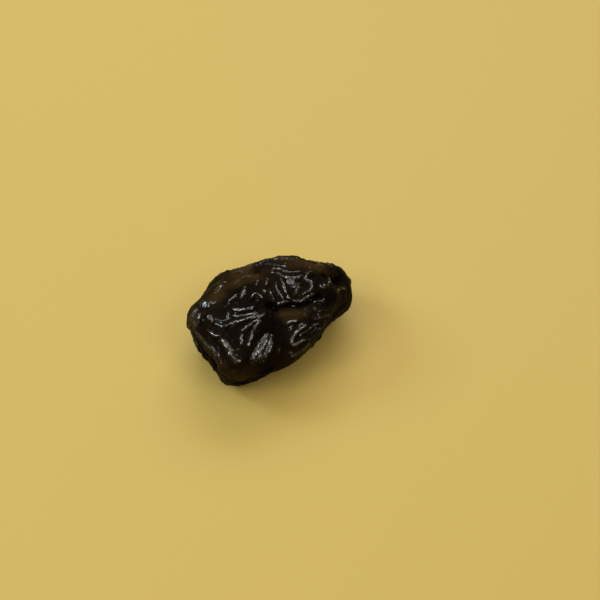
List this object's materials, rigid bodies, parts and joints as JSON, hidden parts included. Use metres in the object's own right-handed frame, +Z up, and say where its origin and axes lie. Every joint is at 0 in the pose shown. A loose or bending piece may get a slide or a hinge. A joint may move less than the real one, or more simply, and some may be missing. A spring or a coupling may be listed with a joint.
{
  "type": "prune",
  "caption": "Pitted prune: a soft oblong dried fruit with a deeply wrinkled glossy skin, one blunt end with the pitting slit, resting on a small flat spot.",
  "frame": {"origin": "under the middle of the fruit, at the level of the flat spot it rests on", "axes": "+X along the fruit from the blunt stem end to the narrower blossom end, +Z up from the flat spot, Y across the fruit, with the side the main crease is seen from at -Y"},
  "size_m": [0.038, 0.0276, 0.019],
  "materials": {
    "prune_skin": "glossy, almost black brown, moist wrinkled skin"
  },
  "bodies": {
    "root": {"prune": "prune_skin"}
  },
  "joints": []
}
